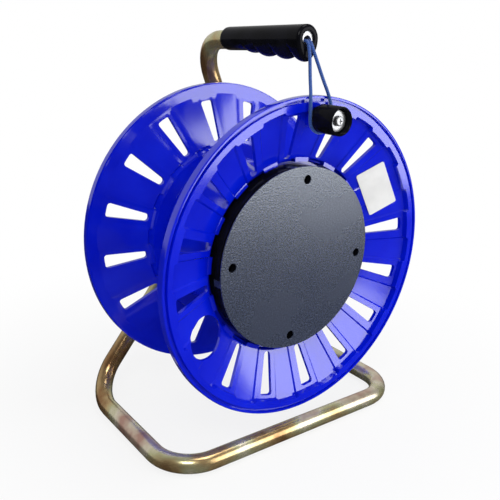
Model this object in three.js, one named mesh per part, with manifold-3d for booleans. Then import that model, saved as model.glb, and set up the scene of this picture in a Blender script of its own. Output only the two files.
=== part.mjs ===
// Cable reel on a bent tube stand: two slotted moulded flanges on a ribbed barrel turn on a
// fixed axle, wound by a crank knob near the front flange's rim.
// Millimetres, +Z up. While it is built, Y = 0 is the front rim plane, the drum's axis lies
// along Y through the origin, and -Y is the front. The last lines stand it on its base.
import * as THREE from 'three';
import { mergeVertices } from 'three/addons/utils/BufferGeometryUtils.js';
import Module from 'manifold-3d';

const wasm = await Module();
wasm.setup();

// Fits
const fit = 0.3;
const cut_over = 1;

// Stand tube and its bends, as seen from the drum's axis
const tube_d = 19;
const tube_wall = 1.5;
const bend_radius = 42;
const axis_height = 197.7;
const base_left = 144;
const base_right = 156;
const base_front = 5.3;
const stand_back = 190.4;
const handle_offset = 3.4;
const handle_rise = 203;
const handle_reach = 178;
const handle_tilt = 0.033;

// Grip
const grip_length = 123;
const grip_radius = 12.6;
const grip_end_chamfer = 2.2;
const grip_drop = 20.1;
const grip_belly_radius = 9.6;
const grip_wave_place_shares = [0.024, 0.122, 0.241, 0.341, 0.444, 0.55, 0.623, 0.72];
const grip_wave_drop_shares = [1, 0.726, 0.9, 0.612, 0.8, 0.57, 0.642, 0.55];
const plug_eye_d = 8.4;
const plug_length = 14;

// Drum
const flange_d = 320;
const drum_width = 163;
const pitch_count = 16;
const front_slot_turn = 97.0;
const rear_slot_turn = 81.8;
const skirt_width = 8;
const flange_wall = 2.6;
const lip_width = 3.4;
const lip_round = 1.2;
const groove_width = 1.4;
const groove_depth = 0.9;
const ring_width = 5.7;
const ring_fall = 3.2;
const ring_belly_share = 0.4;
const panel_step = 4.4;
const strip_offset = 3;
const strip_step = 0.7;
const cone_outer_depth = 5.6;
const cone_inner_radius = 103;
const cone_inner_depth = 20.9;
const panel_inner_step = 1.1;
const ledge_depth = 22.2;
const dish_radius = 96;
const dish_depth = 32;
const web_radius = 62;
const panel_angle = 9.6;
const wall_angle = 0.7;
const slot_rim_margin = 17.2;
const slot_ledge_margin = 1.6;
const slot_outer_width = 9.4;
const slot_inner_width = 5.6;
const slot_corner = 2.1;
const cable_hole_radius = 20.5;
const cable_hole_rim_margin = 38.8;
const cable_hole_pitch = 11;

// Barrel
const barrel_radius = 84;
const barrel_wall = 3;
const barrel_web = 3;
const rib_count = 12;
const rib_wall = 2.4;
const boss_radius = 6;
const boss_place = 73;
const hub_radius = 13;

// Axle, bushes and the plate that carries them
const axle_d = 12;
const bush_wall = 2.7;
const bush_length = 20;
const bush_rim = 2;
const bush_rim_width = 2;
const plate_thick = 3;
const plate_boss_radius = 20;
const plate_arm_radius = 13;
const washer_thick = 2;
const washer_radius = 11;
const nut_flats = 18;
const nut_height = 8;
const axle_tail = 3;

// Housing and cover plate
const cover_radius = 94.2;
const cover_front = 12;
const cover_thick = 2.6;
const cover_edge = 0.8;
const housing_radius = 92.6;
const housing_wall = 3;
const housing_bore_radius = 24;
const post_radius = 7.5;
const tab_width = 7;
const tab_length = 10;
const tab_thick = 1.4;
const tab_turn = -174;
const cover_screw_place = 80.3;
const cover_screw_turn = -4;
const cover_screw_hole = 9;
const cover_screw_head = 7.4;
const cover_screw_head_height = 3;
const cover_screw_shank = 3.6;
const cover_screw_length = 20;
const cover_screw_sink = 6;

// Flange screws into the barrel's bosses
const flange_screw_count = 4;
const flange_screw_head = 9;
const flange_screw_head_height = 3;
const flange_screw_shank = 4;
const flange_screw_length = 16;

// Crank knob
const knob_rim_margin = 20;
const knob_turn = 88;
const knob_radius = 13.2;
const knob_length = 25.5;
const knob_neck_radius = 11.3;
const knob_neck_length = 4.4;
const knob_recess_radius = 11;
const knob_recess_depth = 7;
const knob_edge = 1;
const knob_boss_radius = 9.5;
const knob_boss_front = 0.6;
const knob_pin_d = 6;
const knob_pin_head = 9;
const knob_pin_head_height = 3;
const knob_washer_radius = 9.6;
const knob_washer_thick = 1.2;
const knob_nut_flats = 10;
const knob_nut_height = 5;

// Lock loop: cord from the plug's eye round the knob's neck and back
const cord_d = 3.2;
const cord_rise = 1.9;

const full_turn = Math.PI * 2;
const degree = Math.PI / 180;
const tube_r = tube_d / 2;
const flange_radius = flange_d / 2;
const axle_r = axle_d / 2;
const knob_place = flange_radius - knob_rim_margin;
const cable_hole_place = flange_radius - cable_hole_rim_margin;

const zinc = new THREE.MeshStandardMaterial({ color: 0xa58f55, roughness: 0.32, metalness: 0.9 });
const steel = new THREE.MeshStandardMaterial({ color: 0xb9bcc0, roughness: 0.35, metalness: 0.95 });
const blue = new THREE.MeshStandardMaterial({ color: 0x0517c4, roughness: 0.3, metalness: 0 });
const black = new THREE.MeshStandardMaterial({ color: 0x0b0b0f, roughness: 0.4, metalness: 0 });
const grey = new THREE.MeshStandardMaterial({ color: 0x565d6b, roughness: 0.6, metalness: 0 });
const nylon = new THREE.MeshStandardMaterial({ color: 0xd9d6cc, roughness: 0.5, metalness: 0 });
const cord_blue = new THREE.MeshStandardMaterial({ color: 0x1f56b4, roughness: 0.8, metalness: 0 });

const reel = new THREE.Group();

// Turns a closed three.js geometry into a solid with its faces outward.
function solid(geometry) {
  const bare = geometry.clone();
  bare.deleteAttribute('normal');
  bare.deleteAttribute('uv');
  const merged = mergeVertices(bare);
  const places = merged.attributes.position.array;
  const corners = merged.index.array;
  const kept = [];
  let volume = 0;
  for (let i = 0; i < corners.length; i += 3) {
    const [a, b, c] = [corners[i], corners[i + 1], corners[i + 2]];
    if (a === b || b === c || c === a) continue;
    kept.push(a, b, c);
    const p = new THREE.Vector3().fromArray(places, a * 3);
    const q = new THREE.Vector3().fromArray(places, b * 3);
    const r = new THREE.Vector3().fromArray(places, c * 3);
    volume += p.dot(q.cross(r));
  }
  if (volume < 0) kept.reverse();
  const mesh = new wasm.Mesh({
    numProp: 3,
    vertProperties: new Float32Array(places),
    triVerts: new Uint32Array(kept),
  });
  return new wasm.Manifold(mesh);
}

function addPiece(name, body, material) {
  const mesh = body.getMesh();
  const geometry = new THREE.BufferGeometry();
  geometry.setAttribute('position', new THREE.BufferAttribute(mesh.vertProperties, 3));
  geometry.setIndex(new THREE.BufferAttribute(mesh.triVerts, 1));
  const piece = new THREE.Mesh(geometry, material);
  piece.name = name;
  reel.add(piece);
  return piece;
}

// Revolves a closed outline of [radius, y] points about the drum's axis.
function revolve(outline, steps) {
  const points = outline.map(([radius, y]) => new THREE.Vector2(radius, y));
  if (points[0].x > 0) points.push(points[0].clone());
  return solid(new THREE.LatheGeometry(points, steps));
}

// Extrudes a shape drawn in X and Z from one Y to another.
function alongY(shape, start, end, arcSteps) {
  const settings = { depth: end - start, bevelEnabled: false, curveSegments: arcSteps };
  const geometry = new THREE.ExtrudeGeometry(shape, settings);
  geometry.rotateX(Math.PI / 2);
  geometry.translate(0, end, 0);
  return solid(geometry);
}

function disc(radius, x = 0, z = 0) {
  return new THREE.Shape().absarc(x, z, radius, 0, full_turn, false);
}

function ring(outer, inner, x = 0, z = 0) {
  const shape = disc(outer, x, z);
  shape.holes.push(new THREE.Path().absarc(x, z, inner, 0, full_turn, true));
  return shape;
}

function polar(radius, degrees) {
  return [radius * Math.cos(degrees * degree), radius * Math.sin(degrees * degree)];
}

function turned(body, degrees) {
  return body.rotate([0, -degrees, 0]);
}

// A hexagon nut or head with a bore, its flats apart by the given width.
function hexagon(flats, bore) {
  const shape = new THREE.Shape();
  const corner = flats / 2 / Math.cos(Math.PI / 6);
  for (let i = 0; i < 6; i++) {
    const angle = (i * Math.PI) / 3;
    if (i === 0) shape.moveTo(corner, 0);
    else shape.lineTo(corner * Math.cos(angle), corner * Math.sin(angle));
  }
  shape.closePath();
  if (bore > 0) shape.holes.push(new THREE.Path().absarc(0, 0, bore, 0, full_turn, true));
  return shape;
}

// A path of straight runs joined by round bends, with stations only at the bends.
class BentPath extends THREE.Curve {
  constructor(corners, radius, bendSteps) {
    super();
    this.places = [corners[0].clone()];
    this.headings = [corners[1].clone().sub(corners[0]).normalize()];
    for (let i = 1; i < corners.length - 1; i++) this.bend(corners, i, radius, bendSteps);
    this.places.push(corners.at(-1).clone());
    this.headings.push(this.headings.at(-1).clone());
  }

  bend(corners, i, radius, bendSteps) {
    const into = corners[i].clone().sub(corners[i - 1]).normalize();
    const out = corners[i + 1].clone().sub(corners[i]).normalize();
    const turn = into.angleTo(out);
    const start = corners[i].clone().addScaledVector(into, -radius * Math.tan(turn / 2));
    const side = out.clone().addScaledVector(into, -into.dot(out)).normalize();
    for (let k = 0; k <= bendSteps; k++) {
      const angle = (turn * k) / bendSteps;
      const place = start.clone().addScaledVector(into, radius * Math.sin(angle));
      place.addScaledVector(side, radius * (1 - Math.cos(angle)));
      const heading = into.clone().multiplyScalar(Math.cos(angle));
      heading.addScaledVector(side, Math.sin(angle));
      this.places.push(place);
      this.headings.push(heading);
    }
  }

  station(t) {
    return Math.round(t * (this.places.length - 1));
  }

  getPoint(t, target = new THREE.Vector3()) {
    return target.copy(this.places[this.station(t)]);
  }

  getTangent(t, target = new THREE.Vector3()) {
    return target.copy(this.headings[this.station(t)]);
  }

  getPointAt(u, target) {
    return this.getPoint(u, target);
  }

  getTangentAt(u, target) {
    return this.getTangent(u, target);
  }

  sweep(section, arcSteps) {
    const settings = {
      steps: this.places.length - 1,
      extrudePath: this,
      curveSegments: arcSteps,
      bevelEnabled: false,
    };
    return solid(new THREE.ExtrudeGeometry(section, settings));
  }
}

// Corners of the stand tube's centre line, from the handle's front end to the leg's top end
const base_z = tube_r - axis_height;
const handle_corner = new THREE.Vector3(-handle_offset, stand_back, handle_rise);
const handle_end = handle_corner.clone();
handle_end.y -= handle_reach;
handle_end.z += handle_reach * handle_tilt;
const right_back = new THREE.Vector3(base_right, stand_back, base_z);
const left_back = new THREE.Vector3(-base_left, stand_back, base_z);
const axle_point = new THREE.Vector3(0, stand_back, 0);
const diagonal = right_back.clone().sub(handle_corner).normalize();
const leg = axle_point.clone().sub(left_back).normalize();
const leg_meeting = meetingPoint();
const leg_angle = leg.angleTo(diagonal.clone().negate());
const leg_setback = (tube_r + fit) / Math.sin(leg_angle) + tube_r / Math.tan(leg_angle);
const leg_end = leg_meeting.clone().addScaledVector(leg, -leg_setback);

// Where the leg's centre line crosses the diagonal's, in the stand's back plane
function meetingPoint() {
  const gap = handle_corner.clone().sub(left_back);
  const cross = leg.x * diagonal.z - leg.z * diagonal.x;
  const along = (gap.x * diagonal.z - gap.z * diagonal.x) / cross;
  return left_back.clone().addScaledVector(leg, along);
}

function standTube() {
  const corners = [
    handle_end,
    handle_corner,
    right_back,
    new THREE.Vector3(base_right, base_front, base_z),
    new THREE.Vector3(-base_left, base_front, base_z),
    left_back,
    leg_end,
  ];
  const path = new BentPath(corners, bend_radius, 6);
  const tube = path.sweep(ring(tube_r, tube_r - tube_wall), 6);
  const start = stand_back - tube_r - cut_over;
  const drill = alongY(disc(axle_r + fit), start, stand_back + tube_r + cut_over, 10);
  addPiece('stand_tube', tube.subtract(drill), zinc);
}

// Depths along the axle, from the front to the back
const plate_back = stand_back - tube_r - fit;
const plate_front = plate_back - plate_thick;
const thrust_front = plate_front - fit - washer_thick;
const rear_bush_back = thrust_front - fit;
const hub_back = rear_bush_back - bush_rim - fit;
const web_front = dish_depth + flange_wall + fit;
const front_bush_front = web_front - fit - bush_rim;
const retainer_front = front_bush_front - fit - washer_thick;
const retainer_nut_front = retainer_front - fit - nut_height;
const axle_front = retainer_nut_front - axle_tail;
const rear_washer_front = stand_back + tube_r + fit;
const rear_nut_front = rear_washer_front + washer_thick + fit;
const axle_back = rear_nut_front + nut_height + axle_tail;

// A plate with round ends at the axle, at the meeting of the tubes and down the diagonal.
function axlePlate() {
  const reach = leg_meeting.clone().addScaledVector(diagonal, plate_boss_radius * 2);
  const centres = [
    [0, 0, plate_boss_radius],
    [reach.x, reach.z, plate_arm_radius],
    [leg_meeting.x, leg_meeting.z, plate_arm_radius],
  ];
  const shape = new THREE.Shape();
  centres.forEach(([x, z, radius], i) => {
    const before = tangentAngle(centres.at(i - 1), centres[i]);
    const after = tangentAngle(centres[i], centres[(i + 1) % centres.length]);
    shape.absarc(x, z, radius, before, after, false);
  });
  shape.closePath();
  shape.holes.push(new THREE.Path().absarc(0, 0, axle_r + fit, 0, full_turn, true));
  addPiece('axle_plate', alongY(shape, plate_front, plate_back, 8), zinc);
}

// The angle at which the outer tangent of two circles touches both, circles taken anticlockwise.
function tangentAngle([x0, z0, radius0], [x1, z1, radius1]) {
  const length = Math.hypot(x1 - x0, z1 - z0);
  return Math.atan2(z1 - z0, x1 - x0) - Math.PI / 2 + Math.asin((radius1 - radius0) / length);
}

function axleSet() {
  addPiece('axle', alongY(disc(axle_r), axle_front, axle_back, 10), steel);
  const washer = ring(washer_radius, axle_r + fit);
  const nut = hexagon(nut_flats, axle_r + fit);
  const thrust_back = thrust_front + washer_thick;
  addPiece('thrust_washer', alongY(washer, thrust_front, thrust_back, 8), steel);
  addPiece('rear_washer', alongY(washer, rear_washer_front, rear_nut_front - fit, 8), steel);
  addPiece('rear_nut', alongY(nut, rear_nut_front, rear_nut_front + nut_height, 6), steel);
  const retainer_back = retainer_front + washer_thick;
  addPiece('retaining_washer', alongY(washer, retainer_front, retainer_back, 8), steel);
  const nut_back = retainer_nut_front + nut_height;
  addPiece('retaining_nut', alongY(nut, retainer_nut_front, nut_back, 6), steel);
}

// A grip round the handle: a round back, four finger lobes below that deepen to the front.
function handleGrip() {
  const profile = new THREE.Shape();
  const back = grip_length;
  const waves = grip_wave_place_shares.map((share, i) => {
    return [share * grip_length, -grip_wave_drop_shares[i] * grip_drop];
  });
  profile.moveTo(0, grip_radius - grip_end_chamfer);
  profile.lineTo(grip_end_chamfer, grip_radius);
  profile.lineTo(back - grip_end_chamfer, grip_radius);
  profile.lineTo(back, grip_radius - grip_end_chamfer);
  profile.lineTo(back, waves.at(-1)[1] + grip_end_chamfer / 4);
  let [from, level] = [back, waves.at(-1)[1]];
  profile.lineTo(back - grip_end_chamfer / 4, level);
  for (const [place, drop] of waves.reverse()) {
    const pull = (from - place) / 2;
    if (drop === level) profile.lineTo(place, drop);
    else profile.bezierCurveTo(from - pull, level, place + pull, drop, place, drop);
    [from, level] = [place, drop];
  }
  profile.lineTo(0, level + grip_end_chamfer);
  profile.closePath();
  const side = new THREE.ExtrudeGeometry(profile, {
    depth: grip_radius * 2 + cut_over * 2,
    bevelEnabled: false,
    curveSegments: 3,
  });
  side.translate(0, 0, -grip_radius - cut_over);
  side.rotateY(Math.PI / 2);
  side.rotateX(Math.PI / 2);
  const outline = new THREE.Shape();
  outline.absarc(0, 0, grip_radius, 0, Math.PI, false);
  outline.absarc(0, grip_belly_radius - grip_drop, grip_belly_radius, Math.PI, full_turn, false);
  outline.closePath();
  const round = alongY(outline, -cut_over, grip_length + cut_over, 9);
  const bore = alongY(disc(tube_r + fit), -cut_over, grip_length + cut_over, 10);
  const grip = solid(side).intersect(round).subtract(bore);
  const piece = addPiece('handle_grip', grip, black);
  seatOnHandle(piece);
}

// Places a piece drawn along +Y from the handle's front end onto the tilted handle.
function seatOnHandle(piece) {
  piece.position.copy(handle_end);
  piece.rotation.x = -Math.atan(handle_tilt);
}

// The plug in the tube's front end, with the eye that the cord comes out of.
function endPlug() {
  const plug_r = tube_r - tube_wall - fit;
  const body = alongY(disc(plug_r), 0, plug_length, 10);
  const eye = alongY(disc(plug_eye_d / 2, 0, -cord_rise), -cut_over, plug_length + cut_over, 7);
  seatOnHandle(addPiece('handle_plug', body.subtract(eye), steel));
}

const cone_outer_radius = flange_radius - lip_width - groove_width - ring_width;
const strip_radius = cone_outer_radius - strip_offset;
const cone_slope = (cone_inner_depth - cone_outer_depth) / (strip_radius - cone_inner_radius);

function stripDepth(radius) {
  return cone_outer_depth + (strip_radius - radius) * cone_slope;
}

// The section of the flange wall as a closed outline of [radius, depth] points, at a strip or
// at a panel, which lies deeper and reaches farther out.
function flangeSection(panel) {
  const lip = flange_radius - lip_width;
  const ring_outer = lip - groove_width;
  const edge = panel ? cone_outer_radius : strip_radius;
  const edge_depth = groove_depth / 2 + ((ring_outer - edge) * ring_fall) / ring_width;
  const belly_depth = edge_depth * ring_belly_share;
  const floor = stripDepth(edge) + (panel ? panel_step : 0);
  const inner = cone_inner_depth + (panel ? panel_inner_step : 0);
  const ledge = cone_inner_radius - (ledge_depth - cone_inner_depth);
  const wall = flange_wall;
  return [
    [flange_radius, skirt_width],
    [flange_radius, lip_round],
    [flange_radius - lip_round, 0],
    [lip, 0],
    [lip - groove_width / 2, groove_depth],
    [ring_outer, groove_depth / 2],
    [(ring_outer + edge) / 2, belly_depth],
    [edge, edge_depth],
    [edge - strip_step, floor],
    [cone_inner_radius, inner],
    [ledge, ledge_depth],
    [dish_radius, ledge_depth],
    [dish_radius - strip_step, dish_depth],
    [web_radius, dish_depth],
    [web_radius, dish_depth + wall],
    [dish_radius + wall, dish_depth + wall],
    [cone_inner_radius, inner + wall],
    [edge - strip_step, floor + wall],
    [flange_radius - wall, belly_depth + wall],
    [flange_radius - wall, skirt_width],
  ];
}

// Sections carried round the axis: four stations a pitch, with a short wall each side of a panel.
function flangeShell(slot_turn) {
  const pitch = 360 / pitch_count;
  const strip_half = (pitch - panel_angle) / 2 - wall_angle;
  const stations = [];
  for (let i = 0; i < pitch_count; i++) {
    const middle = slot_turn + i * pitch;
    const panel_start = middle + strip_half + wall_angle;
    stations.push([middle - strip_half, false]);
    stations.push([middle + strip_half, false]);
    stations.push([panel_start, true]);
    stations.push([panel_start + panel_angle, true]);
  }
  const places = [];
  for (const [degrees, panel] of stations) {
    for (const [radius, depth] of flangeSection(panel)) {
      const [x, z] = polar(radius, degrees);
      places.push(x, depth, z);
    }
  }
  const count = flangeSection(false).length;
  const corners = [];
  for (let i = 0; i < stations.length; i++) {
    const here = i * count;
    const next = ((i + 1) % stations.length) * count;
    for (let k = 0; k < count; k++) {
      const after = (k + 1) % count;
      corners.push(here + k, here + after, next + k);
      corners.push(next + k, here + after, next + after);
    }
  }
  const geometry = new THREE.BufferGeometry();
  geometry.setAttribute('position', new THREE.Float32BufferAttribute(places, 3));
  geometry.setIndex(corners);
  return solid(geometry);
}

// A tapered slot with round corners, wider to the rim.
function slotCutter(degrees) {
  const inner = cone_inner_radius + slot_ledge_margin;
  const outer = flange_radius - slot_rim_margin;
  const [narrow, wide] = [slot_inner_width / 2, slot_outer_width / 2];
  const shape = new THREE.Shape();
  shape.moveTo(inner, -narrow + slot_corner);
  shape.quadraticCurveTo(inner, -narrow, inner + slot_corner, -narrow);
  shape.lineTo(outer - slot_corner, -wide);
  shape.quadraticCurveTo(outer, -wide, outer, -wide + slot_corner);
  shape.lineTo(outer, wide - slot_corner);
  shape.quadraticCurveTo(outer, wide, outer - slot_corner, wide);
  shape.lineTo(inner + slot_corner, narrow);
  shape.quadraticCurveTo(inner, narrow, inner, narrow - slot_corner);
  shape.closePath();
  return turned(alongY(shape, -cut_over, dish_depth, 2), degrees);
}

function flangeScrewPlaces() {
  const places = [];
  for (let i = 0; i < flange_screw_count; i++) {
    places.push(polar(boss_place, 45 + (i * 360) / flange_screw_count));
  }
  return places;
}

// A flange with its slots, all but the skipped one, and its screw holes.
function cutFlange(slot_turn, skipped) {
  let flange = flangeShell(slot_turn);
  for (let i = 0; i < pitch_count; i++) {
    if (i === skipped) continue;
    flange = flange.subtract(slotCutter(slot_turn - (i * 360) / pitch_count));
  }
  for (const [x, z] of flangeScrewPlaces()) {
    const hole = disc(flange_screw_shank / 2 + fit, x, z);
    const end = dish_depth + flange_wall + cut_over;
    flange = flange.subtract(alongY(hole, dish_depth - cut_over, end, 5));
  }
  return flange;
}

// The front flange, with the cable's hole in one slot's place and the knob's boss on a panel.
function frontFlange() {
  const hole_turn = front_slot_turn - (cable_hole_pitch * 360) / pitch_count;
  const [hole_x, hole_z] = polar(cable_hole_place, hole_turn);
  const hole = alongY(disc(cable_hole_radius, hole_x, hole_z), -cut_over, dish_depth, 10);
  const [x, z] = polar(knob_place, knob_turn);
  const boss = alongY(disc(knob_boss_radius, x, z), -knob_boss_front, knob_boss_back, 8);
  const bore_end = knob_boss_back + cut_over;
  const bore = alongY(disc(knob_pin_d / 2 + fit, x, z), -knob_boss_front - cut_over, bore_end, 6);
  let flange = cutFlange(front_slot_turn, cable_hole_pitch).subtract(hole);
  flange = flange.add(boss).subtract(bore);
  for (let i = 0; i < 4; i++) {
    const [post_x, post_z] = polar(cover_screw_place, cover_screw_turn + i * 90);
    const pilot = disc(cover_screw_shank / 2 + fit, post_x, post_z);
    const end = dish_depth + flange_wall + cut_over;
    flange = flange.subtract(alongY(pilot, dish_depth - cut_over, end, 5));
  }
  addPiece('front_flange', flange, blue);
}

function rearFlange() {
  const flange = cutFlange(rear_slot_turn, -1);
  addPiece('rear_flange', flange.rotate([0, 0, 180]).translate([0, drum_width, 0]), blue);
}

// Where the cover screws' heads sit, below the plate's face
const screw_seat = cover_front + cover_thick + fit + cover_screw_sink;

// The barrel: an outer tube, a front web, ribs out from the hub tube and the screw bosses.
function barrel() {
  const back = drum_width - web_front;
  const bore = axle_r + fit + bush_wall + fit;
  let body = alongY(ring(barrel_radius, barrel_radius - barrel_wall), web_front, back, 20);
  body = body.add(alongY(disc(barrel_radius - barrel_wall / 2), web_front, web_front + barrel_web, 16));
  body = body.add(alongY(disc(hub_radius), web_front, hub_back, 10));
  const rib = new THREE.Shape();
  rib.moveTo(hub_radius / 2, -rib_wall / 2);
  rib.lineTo(barrel_radius - barrel_wall / 2, -rib_wall / 2);
  rib.lineTo(barrel_radius - barrel_wall / 2, rib_wall / 2);
  rib.lineTo(hub_radius / 2, rib_wall / 2);
  rib.closePath();
  const rib_body = alongY(rib, web_front + barrel_web / 2, back, 1);
  for (let i = 0; i < rib_count; i++) body = body.add(turned(rib_body, (i * 360) / rib_count));
  for (const [x, z] of flangeScrewPlaces()) {
    body = body.add(alongY(disc(boss_radius, x, z), web_front, back, 5));
    const pilot = disc(flange_screw_shank / 2 + fit, x, z);
    body = body.subtract(alongY(pilot, web_front - cut_over, web_front + flange_screw_length, 4));
    body = body.subtract(alongY(pilot, back - flange_screw_length, back + cut_over, 4));
  }
  for (let i = 0; i < 4; i++) {
    const [x, z] = polar(cover_screw_place, cover_screw_turn + i * 90);
    const relief = disc(cover_screw_shank / 2 + fit, x, z);
    const relief_end = screw_seat + cover_screw_length + cut_over;
    body = body.subtract(alongY(relief, web_front - cut_over, relief_end, 4));
  }
  body = body.subtract(alongY(disc(bore), web_front - cut_over, hub_back + cut_over, 10));
  addPiece('barrel', body, blue);
}

function bushes() {
  const inner = axle_r + fit;
  const outer = inner + bush_wall;
  const rim = outer + bush_rim_width;
  const front = front_bush_front;
  const shoulder = front + bush_rim;
  const front_outline = [
    [inner, front],
    [rim, front],
    [rim, shoulder],
    [outer, shoulder],
    [outer, shoulder + bush_length],
    [inner, shoulder + bush_length],
  ];
  const back_outline = front_outline.map(([radius, y]) => [radius, rear_bush_back + front - y]);
  addPiece('front_bush', revolve(front_outline, 16), nylon);
  addPiece('rear_bush', revolve(back_outline, 16), nylon);
}

// The black cup in the front flange's dish, with four posts for the cover's screws.
function housing() {
  const front = cover_front + cover_thick + fit;
  const back = dish_depth - fit;
  const inner = housing_radius - housing_wall;
  const floor = back - housing_wall;
  const outline = [
    [housing_radius, front],
    [housing_radius, back],
    [housing_bore_radius, back],
    [housing_bore_radius, floor],
    [inner, floor],
    [inner, front],
  ];
  let cup = revolve(outline, 48);
  for (let i = 0; i < 4; i++) {
    const [x, z] = polar(cover_screw_place, cover_screw_turn + i * 90);
    cup = cup.add(alongY(disc(post_radius, x, z), front, back, 7));
    const pilot = disc(cover_screw_shank / 2 + fit, x, z);
    cup = cup.subtract(alongY(pilot, front - cut_over, back + cut_over, 5));
    const seat = disc(cover_screw_hole / 2, x, z);
    cup = cup.subtract(alongY(seat, front - cut_over, screw_seat, 7));
    cup = cup.subtract(turned(tabShape(fit), tab_turn + i * 90));
  }
  for (const [x, z] of flangeScrewPlaces()) {
    const access = disc(flange_screw_head / 2 + fit, x, z);
    cup = cup.subtract(alongY(access, floor - cut_over, back + cut_over, 6));
  }
  addPiece('housing', cup, black);
}

// A clip tab behind the cover plate, let into the housing's wall, drawn at angle zero.
function tabShape(clearance) {
  const half = tab_width / 2 + clearance;
  const inner = housing_radius - tab_thick;
  const shape = new THREE.Shape();
  shape.moveTo(inner - clearance, -half);
  shape.lineTo(housing_radius + clearance * 2, -half);
  shape.lineTo(housing_radius + clearance * 2, half);
  shape.lineTo(inner - clearance, half);
  shape.closePath();
  const front = cover_front + cover_thick / 2;
  return alongY(shape, front, cover_front + cover_thick + tab_length + clearance, 1);
}

function coverPlate() {
  const back = cover_front + cover_thick;
  const outline = [
    [0, cover_front],
    [cover_radius - cover_edge, cover_front],
    [cover_radius, cover_front + cover_edge],
    [cover_radius, back],
    [0, back],
  ];
  let plate = revolve(outline, 48);
  for (let i = 0; i < 4; i++) {
    plate = plate.add(turned(tabShape(0), tab_turn + i * 90));
  }
  for (let i = 0; i < 4; i++) {
    const [x, z] = polar(cover_screw_place, cover_screw_turn + i * 90);
    const hole = disc(cover_screw_hole / 2, x, z);
    plate = plate.subtract(alongY(hole, cover_front - cut_over, back + cut_over, 8));
  }
  addPiece('cover_plate', plate, grey);
}

// A screw pointing to +Y from its head's underside at zero.
function screw(head, head_height, shank, length) {
  const crown = alongY(disc(head / 2), -head_height, -fit, 6);
  return crown.add(alongY(disc(shank / 2), -head_height / 2, length, 4));
}

function screws() {
  const cover_screw = screw(
    cover_screw_head,
    cover_screw_head_height,
    cover_screw_shank,
    cover_screw_length,
  );
  for (let i = 0; i < 4; i++) {
    const [x, z] = polar(cover_screw_place, cover_screw_turn + i * 90);
    addPiece(`cover_screw_${i + 1}`, cover_screw.translate([x, screw_seat, z]), black);
  }
  const flange_screw = screw(
    flange_screw_head,
    flange_screw_head_height,
    flange_screw_shank,
    flange_screw_length - cut_over,
  );
  const rear_seat = drum_width - dish_depth;
  flangeScrewPlaces().forEach(([x, z], i) => {
    const front = flange_screw.translate([x, dish_depth, z]);
    addPiece(`front_flange_screw_${i + 1}`, front, steel);
    const rear = flange_screw.rotate([0, 0, 180]).translate([x, rear_seat, z]);
    addPiece(`rear_flange_screw_${i + 1}`, rear, steel);
  });
}

// Depths of the knob's pieces
const knob_boss_back = stripDepth(knob_place) + panel_step + flange_wall + washer_thick;
const knob_back = -knob_boss_front - fit;
const knob_front = knob_back - knob_neck_length - knob_length;
const knob_floor = knob_front + knob_recess_depth;
const knob_washer_front = knob_floor - fit - knob_washer_thick;
const knob_head_front = knob_washer_front - fit - knob_pin_head_height;

// The knob: a neck for the cord, a round body and a hollow outer end.
function crankKnob() {
  const bore = knob_pin_d / 2 + fit;
  const shoulder = knob_back - knob_neck_length;
  const outline = [
    [bore, knob_back],
    [knob_neck_radius, knob_back],
    [knob_neck_radius, shoulder],
    [knob_radius - knob_edge, shoulder],
    [knob_radius, shoulder - knob_edge],
    [knob_radius, knob_front + knob_edge],
    [knob_radius - knob_edge, knob_front],
    [knob_recess_radius, knob_front],
    [knob_recess_radius, knob_floor],
    [bore, knob_floor],
  ];
  seatAtKnob(addPiece('crank_knob', revolve(outline, 28), black));
}

function seatAtKnob(piece) {
  const [x, z] = polar(knob_place, knob_turn);
  piece.position.set(x, 0, z);
}

function knobPin() {
  const tail = knob_boss_back + washer_thick + fit * 2 + knob_nut_height + axle_tail;
  const head = alongY(disc(knob_pin_head / 2), knob_head_front, knob_washer_front - fit, 7);
  const shank = alongY(disc(knob_pin_d / 2), knob_head_front + knob_pin_head_height / 2, tail, 6);
  seatAtKnob(addPiece('knob_pin', head.add(shank), steel));
  const bore = knob_pin_d / 2 + fit;
  const washer = ring(knob_washer_radius, bore);
  const washer_back = knob_washer_front + knob_washer_thick;
  seatAtKnob(addPiece('knob_washer', alongY(washer, knob_washer_front, washer_back, 9), steel));
  const nut_front = knob_boss_back + fit;
  const nut = alongY(hexagon(knob_nut_flats, bore), nut_front, nut_front + knob_nut_height, 6);
  seatAtKnob(addPiece('knob_nut', nut, steel));
}

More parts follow.
